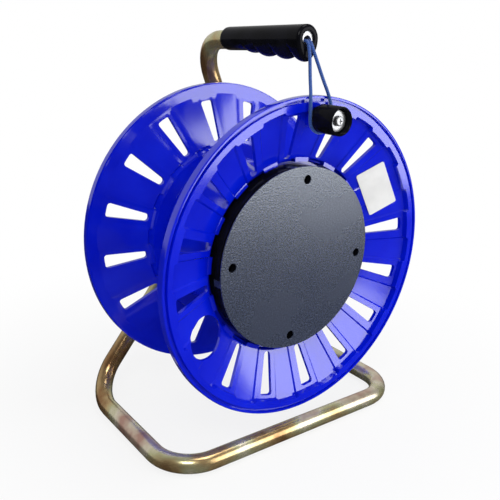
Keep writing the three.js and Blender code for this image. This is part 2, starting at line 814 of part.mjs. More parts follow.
// The lock loop: down from the plug's eye, round under the knob's neck, and back up.
function lockLoop() {
  const [knob_x, knob_z] = polar(knob_place, knob_turn);
  const turn_radius = knob_neck_radius + fit + cord_d / 2;
  const level = knob_back - knob_neck_length / 2;
  const eye = [handle_end.x, handle_end.y, handle_end.z - cord_rise];
  const apart = cord_d / 2 + fit / 2;
  const points = [
    [eye[0] - apart, eye[1] + 8, eye[2]],
    [eye[0] - apart, eye[1] + 1, eye[2]],
    [eye[0] - apart, eye[1] - 3.4, eye[2] - 3],
    [eye[0] - apart - 0.4, eye[1] - 5, eye[2] - 9],
    [knob_x - turn_radius + 1, level + 0.6, knob_z + 23],
    [knob_x - turn_radius, level, knob_z + 4],
  ];
  for (let i = 1; i < 8; i++) {
    const angle = Math.PI + (i * Math.PI) / 8;
    points.push([knob_x + turn_radius * Math.cos(angle), level, knob_z + turn_radius * Math.sin(angle)]);
  }
  points.push([knob_x + turn_radius, level, knob_z + 4]);
  points.push([knob_x + turn_radius - 1.4, level + 0.6, knob_z + 23]);
  points.push([eye[0] + apart + 1.4, eye[1] - 5, eye[2] - 9]);
  points.push([eye[0] + apart + 0.2, eye[1] - 3.4, eye[2] - 3]);
  points.push([eye[0] + apart, eye[1] + 1, eye[2]]);
  points.push([eye[0] + apart, eye[1] + 8, eye[2]]);
  const route = new THREE.CatmullRomCurve3(points.map((p) => new THREE.Vector3(...p)), false, 'centripetal');
  const settings = { steps: 44, extrudePath: route, curveSegments: 4, bevelEnabled: false };
  addPiece('lock_loop', solid(new THREE.ExtrudeGeometry(disc(cord_d / 2), settings)), cord_blue);
}

standTube();
axlePlate();
axleSet();
handleGrip();
endPlug();
frontFlange();
rearFlange();
barrel();
bushes();
housing();
coverPlate();
screws();
crankKnob();
knobPin();
lockLoop();

// The origin is on the floor, under the middle of the reel's outline.
const box = new THREE.Box3().setFromObject(reel);
const middle = box.getCenter(new THREE.Vector3());
reel.position.set(-middle.x, -middle.y, -box.min.z);

export default reel;
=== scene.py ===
"""Cable reel on a bent tube stand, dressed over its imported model.

Metres, +Z up. The drum turns on a line along Y, and its cover plate faces -Y. Its places are
written from the drum's middle on the front rim plane, and drum_place puts them in the model.
"""

import math

import bmesh
import bpy
from mathutils import Matrix, Vector


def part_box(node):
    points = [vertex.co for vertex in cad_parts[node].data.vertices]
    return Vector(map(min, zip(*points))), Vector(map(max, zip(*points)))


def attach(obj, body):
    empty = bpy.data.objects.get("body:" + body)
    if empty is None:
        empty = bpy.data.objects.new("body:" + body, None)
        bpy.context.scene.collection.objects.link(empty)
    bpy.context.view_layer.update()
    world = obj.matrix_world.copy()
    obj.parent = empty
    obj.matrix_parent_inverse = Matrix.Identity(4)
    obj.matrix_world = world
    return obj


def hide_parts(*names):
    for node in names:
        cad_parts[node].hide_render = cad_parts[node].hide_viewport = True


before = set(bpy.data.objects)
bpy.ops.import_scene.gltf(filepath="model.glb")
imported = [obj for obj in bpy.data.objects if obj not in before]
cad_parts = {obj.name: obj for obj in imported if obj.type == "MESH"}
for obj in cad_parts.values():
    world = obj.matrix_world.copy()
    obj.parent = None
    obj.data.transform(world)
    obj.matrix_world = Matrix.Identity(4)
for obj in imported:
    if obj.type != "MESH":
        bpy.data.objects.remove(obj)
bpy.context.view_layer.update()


# The viewpoint: from the left of the cover plate, a little above the drum, with a normal lens.
# The drum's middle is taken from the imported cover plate, whose face is 12 mm inside the rim.
cover_low, cover_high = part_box("cover_plate")
cover_face = 0.012
drum_place = Vector(
    (
        (cover_low[0] + cover_high[0]) / 2,
        cover_low[1] - cover_face,
        (cover_low[2] + cover_high[2]) / 2,
    )
)
camera_from_drum = Vector((-0.41934, -0.46369, 0.2113))
bpy.ops.object.camera_add(location=drum_place + camera_from_drum)
camera = bpy.context.object
camera_right = Vector((0.8037, -0.5941, 0.0332))
camera_up = Vector((0.1566, 0.2650, 0.9514))
camera_back = camera_right.cross(camera_up)
camera_turn = Matrix((camera_right, camera_up, camera_back)).transposed()
camera.rotation_euler = camera_turn.to_euler()
camera.data.sensor_width = 36
camera.data.lens = 48.42
bpy.context.scene.camera = camera


# The lock loop: a round braided blue cord, 3.2 mm thick, with both ends held inside the handle's
# end plug. It comes out of the plug's eye, goes round the crank knob's neck and back, so that
# the drum can't turn while it is carried.
cord_r = 0.0016
fit = 0.0003
handle_end = Vector((-0.0034, 0.0124, 0.20887))
crank_turn = math.radians(88)
crank_place_r = 0.14
crank_place = Vector((math.cos(crank_turn), 0, math.sin(crank_turn))) * crank_place_r
neck_r = 0.0113
neck_depth = -0.0031
eye_drop = 0.0019
loop_eye = handle_end + Vector((0, 0, -eye_drop))
loop_turn = neck_r + fit + cord_r
strand_gap = cord_r + fit / 2

loop_points = [
    loop_eye + Vector((-strand_gap, 0.008, 0)),
    loop_eye + Vector((-strand_gap, 0.001, 0)),
    loop_eye + Vector((-strand_gap, -0.0028, -0.0016)),
    loop_eye + Vector((-strand_gap, -0.0048, -0.0056)),
    Vector((-0.006, 0.0025, 0.174)),
    Vector((-0.008, -0.002, 0.158)),
    crank_place + Vector((-loop_turn, neck_depth + 0.0003, 0.009)),
    crank_place + Vector((-loop_turn, neck_depth, 0.004)),
]
for step in range(1, 8):
    angle = math.pi + step * math.pi / 8
    round_neck = Vector((math.cos(angle) * loop_turn, neck_depth, math.sin(angle) * loop_turn))
    loop_points.append(crank_place + round_neck)
loop_points += [
    crank_place + Vector((loop_turn, neck_depth, 0.004)),
    crank_place + Vector((loop_turn - 0.0009, neck_depth + 0.0005, 0.01)),
    Vector((0.014, -0.0019, 0.1594)),
    Vector((0.008, 0.0009, 0.1743)),
    Vector((0.0009, 0.006, 0.1954)),
    loop_eye + Vector((strand_gap + 0.0002, -0.0048, -0.005)),
    loop_eye + Vector((strand_gap, -0.0028, -0.0016)),
    loop_eye + Vector((strand_gap, 0.001, 0)),
    loop_eye + Vector((strand_gap, 0.008, 0)),
]

bpy.ops.object.select_all(action="DESELECT")
bpy.ops.curve.primitive_bezier_curve_add()
lock_loop = bpy.context.object
lock_loop.name = "lock_loop_cord"
lock_loop.data.splines.clear()
strand = lock_loop.data.splines.new("BEZIER")
strand.bezier_points.add(len(loop_points) - 1)
for point, place in zip(strand.bezier_points, loop_points):
    point.co = drum_place + place
    point.handle_left_type = "AUTO"
    point.handle_right_type = "AUTO"
strand.resolution_u = 6
lock_loop.data.dimensions = "3D"
lock_loop.data.bevel_depth = cord_r
lock_loop.data.bevel_resolution = 4
lock_loop.data.use_fill_caps = True


def new_finish(name, colour, metallic, roughness, sockets=None):
    """A material with its shader's sockets set plainly, to be given its detail by nodes."""
    finish = bpy.data.materials.new(name)
    finish.use_nodes = True
    shader = finish.node_tree.nodes["Principled BSDF"]
    shader.inputs["Base Color"].default_value = (*colour, 1)
    shader.inputs["Metallic"].default_value = metallic
    shader.inputs["Roughness"].default_value = roughness
    for socket, value in (sockets or {}).items():
        shader.inputs[socket].default_value = value
    return finish


def dress(piece, finish):
    """Gives a piece this finish alone."""
    piece.data.materials.clear()
    piece.data.materials.append(finish)


cord_finish = new_finish("blue_cord", (0.007, 0.055, 0.29), 0, 0.55, {"Sheen Weight": 0.3})
nodes, links = cord_finish.node_tree.nodes, cord_finish.node_tree.links
shader = nodes["Principled BSDF"]
place = nodes.new("ShaderNodeTexCoord")
braid = nodes.new("ShaderNodeTexWave")
braid.wave_type = "BANDS"
braid.bands_direction = "DIAGONAL"
braid.inputs["Scale"].default_value = 420
braid.inputs["Distortion"].default_value = 1.5
links.new(place.outputs["Object"], braid.inputs["Vector"])
shade = nodes.new("ShaderNodeMix")
shade.data_type = "RGBA"
shade.inputs[6].default_value = (0.004, 0.036, 0.2, 1)
shade.inputs[7].default_value = (0.018, 0.1, 0.42, 1)
links.new(braid.outputs["Fac"], shade.inputs[0])
links.new(shade.outputs[2], shader.inputs["Base Color"])
relief = nodes.new("ShaderNodeBump")
relief.inputs["Strength"].default_value = 0.35
relief.inputs["Distance"].default_value = 0.0003
links.new(braid.outputs["Fac"], relief.inputs["Height"])
links.new(relief.outputs["Normal"], shader.inputs["Normal"])
dress(lock_loop, cord_finish)
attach(lock_loop, "frame")
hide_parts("lock_loop")


# The studio: a pale floor under the reel, a white surround, and soft boxes above and in front.
# The floor fades into the white surround round the object's shadow. In reflections the room is
# dim in front and low down, and paler behind and above.
def fed_node(tree, kind, *sources, **settings):
    """A node of this kind with these settings, and its first sockets fed by these sources."""
    node = tree.nodes.new(kind)
    for setting, value in settings.items():
        setattr(node, setting, value)
    for source, socket in zip(sources, node.inputs):
        tree.links.new(source, socket)
    return node


def grey_node(tree, kind, level):
    """A shader or light node of a neutral colour."""
    node = fed_node(tree, kind)
    node.inputs["Color"].default_value = (level, level, level, 1)
    return node


def range_node(tree, source, from_low, from_high, to_low, to_high, **settings):
    """A node that maps a source from one range of values to another."""
    node = fed_node(tree, "ShaderNodeMapRange", source, **settings)
    node.inputs["From Min"].default_value = from_low
    node.inputs["From Max"].default_value = from_high
    node.inputs["To Min"].default_value = to_low
    node.inputs["To Max"].default_value = to_high
    return node


floor_level = 0.84
shadow_reach = 0.15
white_reach = 0.55
bpy.ops.object.select_all(action="DESELECT")
bpy.ops.mesh.primitive_plane_add(size=16, location=(0, 0, 0))
floor = bpy.context.object
floor.name = "studio_floor"
floor_finish = bpy.data.materials.new("pale_floor")
floor_finish.use_nodes = True
tree = floor_finish.node_tree
tree.nodes.clear()
paint = grey_node(tree, "ShaderNodeBsdfDiffuse", floor_level)
dark_paint = grey_node(tree, "ShaderNodeBsdfDiffuse", 0.03)
white = grey_node(tree, "ShaderNodeEmission", 1)
seen = fed_node(tree, "ShaderNodeLightPath").outputs
place = fed_node(tree, "ShaderNodeTexCoord").outputs["Object"]
distance = fed_node(tree, "ShaderNodeVectorMath", place, operation="LENGTH").outputs["Value"]
fade = range_node(
    tree, distance, shadow_reach, white_reach, floor_level, 1, interpolation_type="SMOOTHSTEP"
).outputs[0]
share = fed_node(tree, "ShaderNodeMath", seen["Is Camera Ray"], fade, operation="MULTIPLY")
floor_looks = (seen["Is Glossy Ray"], paint.outputs[0], dark_paint.outputs[0])
mirrored = fed_node(tree, "ShaderNodeMixShader", *floor_looks)
blended = (share.outputs[0], mirrored.outputs[0], white.outputs[0])
blend = fed_node(tree, "ShaderNodeMixShader", *blended)
fed_node(tree, "ShaderNodeOutputMaterial", blend.outputs[0])
floor.data.materials.append(floor_finish)

surround = bpy.data.worlds.new("studio_surround")
bpy.context.scene.world = surround
surround.use_nodes = True
tree = surround.node_tree
tree.nodes.clear()
seen = fed_node(tree, "ShaderNodeLightPath").outputs
place = fed_node(tree, "ShaderNodeTexCoord").outputs["Generated"]
split = fed_node(tree, "ShaderNodeSeparateXYZ", place).outputs
behind = range_node(tree, split["Y"], -0.1, 0.5, 0.03, 0.5).outputs[0]
above = range_node(tree, split["Z"], 0.3, 0.95, 0.03, 0.2).outputs[0]
brightest = fed_node(tree, "ShaderNodeMath", behind, above, operation="MAXIMUM")
room = grey_node(tree, "ShaderNodeBackground", 1)
room.inputs["Strength"].default_value = 0.45
reflected = grey_node(tree, "ShaderNodeBackground", 1)
tree.links.new(brightest.outputs[0], reflected.inputs["Strength"])
white = grey_node(tree, "ShaderNodeBackground", 1)
straight_rays = (seen["Is Camera Ray"], seen["Is Transmission Ray"])
through = fed_node(tree, "ShaderNodeMath", *straight_rays, operation="MAXIMUM")
room_looks = (seen["Is Glossy Ray"], room.outputs[0], reflected.outputs[0])
mirrored = fed_node(tree, "ShaderNodeMixShader", *room_looks)
blended = (through.outputs[0], mirrored.outputs[0], white.outputs[0])
blend = fed_node(tree, "ShaderNodeMixShader", *blended)
fed_node(tree, "ShaderNodeOutputWorld", blend.outputs[0])

soft_boxes = (
    ("overhead_box", (0.3, -0.3, 1.6), (0, 0, 0.2), 0.6, 0.6, 6),
    ("front_right_box", (0.69, -1.07, 0.465), (0, -0.09, 0.44), 0.92, 0.95, 9),
    ("left_box", (-0.8, -0.95, 1.2), (0, 0, 0.2), 0.5, 0.5, 7),
)
for name, stand_at, aim_at, width, height, power in soft_boxes:
    bpy.ops.object.light_add(type="AREA", location=stand_at)
    box = bpy.context.object
    box.name = name
    box.data.shape = "RECTANGLE"
    box.data.size = width
    box.data.size_y = height
    box.data.energy = power
    box.rotation_euler = (Vector(aim_at) - Vector(stand_at)).to_track_quat("-Z", "Y").to_euler()
bpy.context.scene.view_settings.view_transform = "Standard"


# The stand: one steel tube, 19 mm thick with a 1.5 mm wall, bent in five places and plated with
# yellow-passivated zinc. It runs from the handle back, down behind the drum to the right rear
# corner, round the base, and up past the axle, which passes through it, to the diagonal.
def pick(*pieces):
    """Selects these pieces alone, the first one active."""
    bpy.ops.object.select_all(action="DESELECT")
    for piece in pieces:
        piece.select_set(True)
    bpy.context.view_layer.objects.active = pieces[0]


def open_mesh(selected):
    """Opens the active piece's mesh to edit it, with all or nothing in it selected."""
    bpy.ops.object.mode_set(mode="EDIT")
    bpy.ops.mesh.select_all(action=selected)


def settle(piece, name, sharpest=35):
    """Moves a finished piece to the drum's place and puts that into its mesh."""
    piece.name = name
    piece.data.name = name
    piece.location += drum_place
    pick(piece)
    bpy.ops.object.transform_apply(location=True, rotation=True, scale=True)
    bpy.ops.object.shade_smooth_by_angle(angle=math.radians(sharpest))


def take(piece, kind, **settings):
    """Adds a modifier with these settings and applies it."""
    pick(piece)
    modifier = piece.modifiers.new(kind.lower(), kind)
    for setting, value in settings.items():
        setattr(modifier, setting, value)
    bpy.ops.object.modifier_apply(modifier=modifier.name)


def cut_away(piece, cutter, **settings):
    """Cuts the shape of a cutter out of a piece, and throws the cutter away."""
    take(piece, "BOOLEAN", object=cutter, operation="DIFFERENCE", solver="EXACT", **settings)
    bpy.data.objects.remove(cutter)


tube_r = 0.0095
tube_wall = 0.0015
bend_r = 0.042
axle_hole_r = 0.0063
stand_back = 0.1904
stand_front = 0.0053
stand_right = 0.1557
stand_left = -0.144
base_z = tube_r - drum_place.z
stand_corners = [
    handle_end,
    Vector((handle_end.x, stand_back, 0.203)),
    Vector((stand_right, stand_back, base_z)),
    Vector((stand_right, stand_front, base_z)),
    Vector((stand_left, stand_front, base_z)),
    Vector((stand_left, stand_back, base_z)),
    Vector((0.0414, stand_back, 0.0541)),
]
runs = [(after - before).normalized() for before, after in zip(stand_corners, stand_corners[1:])]

bpy.ops.object.select_all(action="DESELECT")
bpy.ops.mesh.primitive_circle_add(
    vertices=32,
    radius=tube_r,
    location=handle_end,
    rotation=runs[0].to_track_quat("Z", "Y").to_euler(),
)
stand_tube = bpy.context.object
open_mesh("SELECT")
at = handle_end.copy()
for corner, before, after in zip(stand_corners[1:-1], runs, runs[1:]):
    turn = before.angle(after)
    start = corner - before * bend_r * math.tan(turn / 2)
    bpy.ops.mesh.extrude_region_move(TRANSFORM_OT_translate={"value": start - at})
    axis = before.cross(after).normalized()
    middle = start + axis.cross(before) * bend_r
    bpy.ops.mesh.spin(steps=12, angle=-turn, center=middle, axis=axis)
    at = corner + after * bend_r * math.tan(turn / 2)
bpy.ops.mesh.extrude_region_move(TRANSFORM_OT_translate={"value": stand_corners[-1] - at})
bpy.ops.mesh.select_all(action="SELECT")
bpy.ops.mesh.remove_doubles(threshold=0.00001)
bpy.ops.mesh.normals_make_consistent(inside=False)
bpy.ops.object.mode_set(mode="OBJECT")
settle(stand_tube, "bent_tube")
take(stand_tube, "SOLIDIFY", thickness=tube_wall, offset=-1)
bpy.ops.mesh.primitive_cylinder_add(
    vertices=32,
    radius=axle_hole_r,
    depth=0.03,
    location=drum_place + Vector((0, stand_back, 0)),
    rotation=(math.pi / 2, 0, 0),
)
cut_away(stand_tube, bpy.context.object)
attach(stand_tube, "frame")
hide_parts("stand_tube")

# An effect that the finishes share: the fine skin of a moulding or a plating, which varies the
# gloss in soft clouds and gives the surface a fine grain.
surface_skin = bpy.data.node_groups.new("surface_skin", "ShaderNodeTree")
skin_settings = (("Grain Scale", 900), ("Cloud Scale", 30), ("Gloss Low", 0.2), ("Gloss High", 0.3))
for socket, usual in skin_settings:
    port = surface_skin.interface.new_socket(socket, in_out="INPUT", socket_type="NodeSocketFloat")
    port.default_value = usual
for socket in ("Roughness", "Grain", "Cloud"):
    surface_skin.interface.new_socket(socket, in_out="OUTPUT", socket_type="NodeSocketFloat")
given = fed_node(surface_skin, "NodeGroupInput").outputs
place = fed_node(surface_skin, "ShaderNodeTexCoord").outputs["Object"]
grain = fed_node(surface_skin, "ShaderNodeTexNoise", place)
grain.inputs["Detail"].default_value = 3
surface_skin.links.new(given["Grain Scale"], grain.inputs["Scale"])
cloud = fed_node(surface_skin, "ShaderNodeTexNoise", place)
cloud.inputs["Detail"].default_value = 4
surface_skin.links.new(given["Cloud Scale"], cloud.inputs["Scale"])
gloss = range_node(surface_skin, cloud.outputs["Fac"], 0.3, 0.7, 0, 1)
surface_skin.links.new(given["Gloss Low"], gloss.inputs["To Min"])
surface_skin.links.new(given["Gloss High"], gloss.inputs["To Max"])
shown = (gloss.outputs["Result"], grain.outputs["Fac"], cloud.outputs["Fac"])
fed_node(surface_skin, "NodeGroupOutput", *shown)


def give_skin(finish, grain, cloud, gloss, relief, colours, mask="Cloud"):
    """Puts the shared skin on a finish: its gloss, its grain as relief this high, and a colour
    that goes through these (share, colour) stops by one of its masks."""
    nodes, links = finish.node_tree.nodes, finish.node_tree.links
    shader = nodes["Principled BSDF"]
    skin = nodes.new("ShaderNodeGroup")
    skin.node_tree = surface_skin
    skin.inputs["Grain Scale"].default_value = grain
    skin.inputs["Cloud Scale"].default_value = cloud
    skin.inputs["Gloss Low"].default_value = gloss[0]
    skin.inputs["Gloss High"].default_value = gloss[1]
    links.new(skin.outputs["Roughness"], shader.inputs["Roughness"])
    bump = nodes.new("ShaderNodeBump")
    bump.inputs["Strength"].default_value = 0.5
    bump.inputs["Distance"].default_value = relief
    links.new(skin.outputs["Grain"], bump.inputs["Height"])
    links.new(bump.outputs["Normal"], shader.inputs["Normal"])
    ramp = nodes.new("ShaderNodeValToRGB")
    while len(ramp.color_ramp.elements) < len(colours):
        ramp.color_ramp.elements.new(0.5)
    for element, (share, colour) in zip(ramp.color_ramp.elements, colours):
        element.position = share
        element.color = (*colour, 1)
    links.new(skin.outputs[mask], ramp.inputs["Fac"])
    links.new(ramp.outputs["Color"], shader.inputs["Base Color"])


# Yellow-passivated zinc on the stand: a satin metal whose thin film drifts between brown, olive,
# cream and dull pink in soft patches.
zinc_finish = new_finish("yellow_zinc", (0.6, 0.52, 0.32), 0.78, 0.25)
film = (
    (0.34, (0.36, 0.19, 0.08)),
    (0.43, (0.64, 0.46, 0.22)),
    (0.50, (0.68, 0.66, 0.38)),
    (0.56, (0.92, 0.84, 0.64)),
    (0.66, (0.60, 0.36, 0.28)),
)
give_skin(zinc_finish, grain=1400, cloud=16, gloss=(0.2, 0.32), relief=0.00004, colours=film)
dress(stand_tube, zinc_finish)


# The handle's end plug: zinc-plated steel, pressed into the tube's open end. A round eye through
# it, a little below its middle, lets the lock loop out.
def break_edges(piece, width, segments=2, sharpest=0.8):
    """Rounds a piece's sharp edges by a small bevel."""
    take(
        piece, "BEVEL", width=width, segments=segments, limit_method="ANGLE", angle_limit=sharpest
    )


handle_turn = runs[0].to_track_quat("Y", "Z").to_euler()
plug_r = tube_r - tube_wall - fit
plug_length = 0.014
eye_r = 0.0042
bpy.ops.object.select_all(action="DESELECT")
bpy.ops.mesh.primitive_cylinder_add(vertices=48, radius=plug_r, depth=plug_length)
end_plug = bpy.context.object
end_plug.rotation_euler = (math.pi / 2, 0, 0)
bpy.ops.object.transform_apply(rotation=True)
bpy.ops.mesh.primitive_cylinder_add(
    vertices=32, radius=eye_r, depth=0.03, location=(0, 0, -eye_drop), rotation=(math.pi / 2, 0, 0)
)
cut_away(end_plug, bpy.context.object)
break_edges(end_plug, 0.0006, 3, 0.6)
end_plug.rotation_euler = handle_turn
end_plug.location = handle_end + runs[0] * plug_length / 2
settle(end_plug, "handle_end_plug")
plated_finish = new_finish("bright_zinc", (0.44, 0.45, 0.47), 0.85, 0.3)
bright = ((0.35, (0.36, 0.37, 0.40)), (0.55, (0.50, 0.50, 0.51)), (0.7, (0.43, 0.45, 0.49)))
give_skin(plated_finish, grain=1600, cloud=60, gloss=(0.22, 0.38), relief=0.00003, colours=bright)
dress(end_plug, plated_finish)
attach(end_plug, "frame")
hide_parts("handle_plug")


# The grip: a glossy black moulding pushed over the tube, with a round back and four finger
# lobes below that hang lower to the front. Its rings are shaped one by one along the handle.
grip_length = 0.123
grip_r = 0.0126
grip_lip = 0.0018
grip_edge = 0.0024
lip_bore_r = 0.0066
grip_valleys = (-0.009, 0.015, 0.042, 0.0676, 0.0856)
grip_lobe_drops = (0.0201, 0.0181, 0.0161, 0.0129)
grip_valley_drops = (0.0138, 0.0114, 0.0106, 0.0104, 0.0106)


def grip_drop(along):
    """How far the grip hangs below the handle's line at this distance from its front end."""
    for lobe, deepest in enumerate(grip_lobe_drops):
        start, end = grip_valleys[lobe], grip_valleys[lobe + 1]
        if start <= along < end:
            across = (along - start) / (end - start)
            valley = grip_valley_drops[lobe] * (1 - across) + grip_valley_drops[lobe + 1] * across
            return valley + (deepest - valley) * math.sqrt(max(0, 1 - (2 * across - 1) ** 2))
    return grip_valley_drops[-1]


grip_rings = 124
grip_sides = 56
bpy.ops.object.select_all(action="DESELECT")
bpy.ops.mesh.primitive_grid_add(x_subdivisions=grip_rings, y_subdivisions=grip_sides, size=1)
handle_grip = bpy.context.object
for vertex in handle_grip.data.vertices:
    along = (vertex.co.x + 0.5) * (grip_length + grip_lip) - grip_lip
    angle = (vertex.co.y + 0.5) * math.tau
    drop = grip_drop(max(0, along)) if math.sin(angle) < 0 else grip_r
    pinch = 1 - 0.16 * max(0, -math.sin(angle)) ** 2
    inset = max(0, grip_edge - min(along + grip_lip, grip_length - along))
    rounding = 1 - 0.19 * (inset / grip_edge) ** 2
    vertex.co = (
        math.cos(angle) * grip_r * pinch * rounding,
        along,
        math.sin(angle) * drop * rounding,
    )
pick(handle_grip)
open_mesh("SELECT")
bpy.ops.mesh.remove_doubles(threshold=0.000005)
bpy.ops.mesh.normals_make_consistent(inside=False)
bpy.ops.object.mode_set(mode="OBJECT")
bore_r = tube_r + fit
grip_mesh = bmesh.new()
grip_mesh.from_mesh(handle_grip.data)
front_steps = (
    (lip_bore_r + 0.0008, -grip_lip),
    (lip_bore_r, -grip_lip + 0.0006),
    (lip_bore_r, -fit),
    (bore_r, -fit),
)
for rim, steps in ((-grip_lip, front_steps), (grip_length, ((bore_r, grip_length),))):
    edges = [e for e in grip_mesh.edges if e.is_boundary and abs(e.verts[0].co.y - rim) < 0.0001]
    for radius, along in steps:
        made = bmesh.ops.extrude_edge_only(grip_mesh, edges=edges)["geom"]
        edges = [g for g in made if isinstance(g, bmesh.types.BMEdge)]
        for vertex in (g for g in made if isinstance(g, bmesh.types.BMVert)):
            across = math.hypot(vertex.co.x, vertex.co.z)
            vertex.co = (vertex.co.x * radius / across, along, vertex.co.z * radius / across)
ends = [e for e in grip_mesh.edges if e.is_boundary]
bmesh.ops.bridge_loops(grip_mesh, edges=ends)
bmesh.ops.recalc_face_normals(grip_mesh, faces=grip_mesh.faces)
grip_mesh.to_mesh(handle_grip.data)
grip_mesh.free()
handle_grip.rotation_euler = handle_turn
handle_grip.location = handle_end
settle(handle_grip, "finger_grip", 40)
dim_sheen = {"Specular IOR Level": 0.08}
black_finish = new_finish("glossy_black", (0.004, 0.004, 0.006), 0, 0.25, dim_sheen)
soot = ((0.35, (0.003, 0.003, 0.004)), (0.6, (0.006, 0.006, 0.009)))
give_skin(black_finish, grain=1100, cloud=45, gloss=(0.12, 0.19), relief=0.00005, colours=soot)
dress(handle_grip, black_finish)
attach(handle_grip, "frame")
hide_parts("handle_grip")


# The flanges: one moulding in glossy ultramarine, made twice. A skirt and a grooved ring stiffen
# the rim. Sixteen raised strips, most of them slotted, alternate with sunk panels down the cone,
# and a ledge and a dish wall lead in to the flat web that is screwed to the barrel.
flange_r = 0.16
rim_width = 0.163
pitch = 22.5
pitches = 16
ring_r = 0.1545
ring_depth = 0.0002
ring_tilt = 0.03
strip_r = 0.1465
panel_r = 0.1495
cone_end_r = 0.1
slot_outer_r = 0.143
slot_inner_r = 0.101
slot_outer_half = 0.0075
slot_inner_half = 0.0037
slot_corner = 0.003
slot_shift = 0.5
strip_half = 5.75
wall_angle = 0.7
panel_angle = 9.6
flange_wall = 0.0026
panel_sink = 0.0013
cone_slope = 0.3441
strip_top_depth = 0.0056
cone_end_depth = 0.0216
web_depth = 0.032
wall_depth = 0.0039
panel_proud = 0.0005
slot_margin = 3.9
ledge_back_r = 0.0964
dish_edge_r = 0.0960

# The rows of a flange's face are counted from its skirt inwards, and the stations across one
# pitch from its strip to its panel.
ring_rows = 11
ledge_row = 18
dish_row = 19
slot_rows = (12, 13, 14)
stations = 12
slot_stations = (2, 3)
last_strip_station = 6


def strip_depth(radius):
    """How deep the strips' face lies under the rim at this radius."""
    return strip_top_depth + (strip_r - radius) * cone_slope


def flange_outline(sunk):
    """The face of a flange from its skirt to its web, as (radius, depth) down a strip or a
    sunk panel, which reaches farther out and lies deeper."""
    edge = panel_r if sunk else strip_r
    skirt = [(flange_r, 0.008), (flange_r, 0.0014), (0.1596, 0.0004), (0.1588, 0), (0.1576, 0)]
    groove = [(0.1572, 0.0030), (0.1551, 0.0030), (ring_r, ring_depth)]
    outline = skirt + groove
    for share in (0.22, 0.6, 1):
        radius = ring_r + (edge - ring_r) * share
        outline.append((radius, ring_depth + (ring_r - radius) * ring_tilt))
    top = edge - 0.0007
    top_depth = strip_depth(top) + (panel_sink if sunk else 0)
    low_depth = cone_end_depth + (panel_sink if sunk else 0)
    for radius in (top, slot_outer_r, 0.130, 0.115, slot_inner_r, cone_end_r):
        share = (top - radius) / (top - cone_end_r)
        outline.append((radius, top_depth + (low_depth - top_depth) * share))
    if sunk:
        outline += [(0.0992, 0.0226), (0.0957, 0.0226)]
    else:
        outline += [(0.0994, 0.0220), (0.0988, 0.0240)]
    outline += [(0.0953, web_depth), (0.0800, web_depth), (0.062, web_depth)]
    return outline


def plain_back(row, radius, sunk):
    """Where one of the rows from the rim to the ledge lies on the wall's back, which is one
    smooth cone with the panels standing a little proud of it."""
    if row == 0:
        return 0.1592, 0.0080
    if row < ring_rows:
        share = (row - 1) / (ring_rows - 1)
        rim_back_r, ring_back_r = 0.1585, 0.1473
        return rim_back_r + (ring_back_r - rim_back_r) * share, 0.0078 + 0.0016 * share
    if row == ledge_row:
        radius = ledge_back_r
    proud = panel_proud if sunk and row < ledge_row - 1 else 0
    return radius, strip_depth(radius) + wall_depth + proud


def flange_angle(station, radius):
    """The angle of one of the twelve stations of a pitch, from its slot's middle."""
    share = (radius - slot_inner_r) / (slot_outer_r - slot_inner_r)
    half = slot_inner_half + (slot_outer_half - slot_inner_half) * share
    slot_edge = math.degrees(math.asin(max(half, 0.002) / radius))
    panel_start = strip_half + wall_angle
    middle = -slot_shift
    angles = [-strip_half, middle - slot_margin, middle - slot_edge, middle]
    angles += [middle + slot_edge, middle + slot_margin, strip_half]
    angles += [panel_start + panel_angle * step / 4 for step in range(5)]
    return angles[station]


def around(radius, turn, depth=0):
    """A place at this radius and turn about the drum's line."""
    return Vector((radius * math.cos(turn), depth, radius * math.sin(turn)))


def mould_flange(name, first_slot, whole_pitches):
    """Moulds a flange facing -Y. The pitches that are left whole have no slot."""
    outline = flange_outline(False)
    columns, rows = stations * pitches, len(outline)
    bpy.ops.object.select_all(action="DESELECT")
    bpy.ops.mesh.primitive_grid_add(x_subdivisions=columns, y_subdivisions=rows - 1, size=1)
    flange = bpy.context.object
    slot_faces = []
    for face in flange.data.polygons:
        column = int((face.center.x + 0.5) * columns)
        row = int((face.center.y + 0.5) * (rows - 1))
        in_slot = column % stations in slot_stations and row in slot_rows
        if in_slot and column // stations not in whole_pitches:
            slot_faces.append(face.index)
    for vertex in flange.data.vertices:
        column = round((vertex.co.x + 0.5) * columns)
        row = round((vertex.co.y + 0.5) * (rows - 1))
        station = column % stations
        radius, depth = flange_outline(station > last_strip_station)[row]
        turn = first_slot - pitch * (column // stations) - flange_angle(station, radius)
        vertex.co = around(radius, math.radians(turn), depth)
    shape = bmesh.new()
    shape.from_mesh(flange.data)
    shape.faces.ensure_lookup_table()
    bmesh.ops.delete(shape, geom=[shape.faces[i] for i in slot_faces], context="FACES")
    bmesh.ops.remove_doubles(shape, verts=shape.verts, dist=0.000005)
    bmesh.ops.recalc_face_normals(shape, faces=shape.faces)
    middle = max(shape.faces, key=lambda face: face.calc_area())
    if middle.normal.y > 0:
        bmesh.ops.reverse_faces(shape, faces=shape.faces)
    shape.to_mesh(flange.data)
    shape.free()
    face_count = len(flange.data.vertices)
    take(flange, "SOLIDIFY", thickness=flange_wall, offset=-1, use_even_offset=True)
    points = flange.data.vertices
    for number in range(face_count):
        face_point = points[number].co
        radius = math.hypot(face_point.x, face_point.z)
        if radius < dish_edge_r:
            continue
        turn = math.atan2(face_point.z, face_point.x)
        from_slot = (math.degrees(turn) - first_slot + pitch / 2) % pitch - pitch / 2
        sunk = abs(from_slot) > strip_half + wall_angle / 2
        gaps = [
            math.hypot(radius - row_r, face_point.y - depth)
            for row_r, depth in flange_outline(sunk)[:dish_row]
        ]
        back_r, back_depth = plain_back(gaps.index(min(gaps)), radius, sunk)
        points[number + face_count].co = around(back_r, turn, back_depth)
    round_slots(flange, first_slot, whole_pitches)
    flange.name = name
    return flange


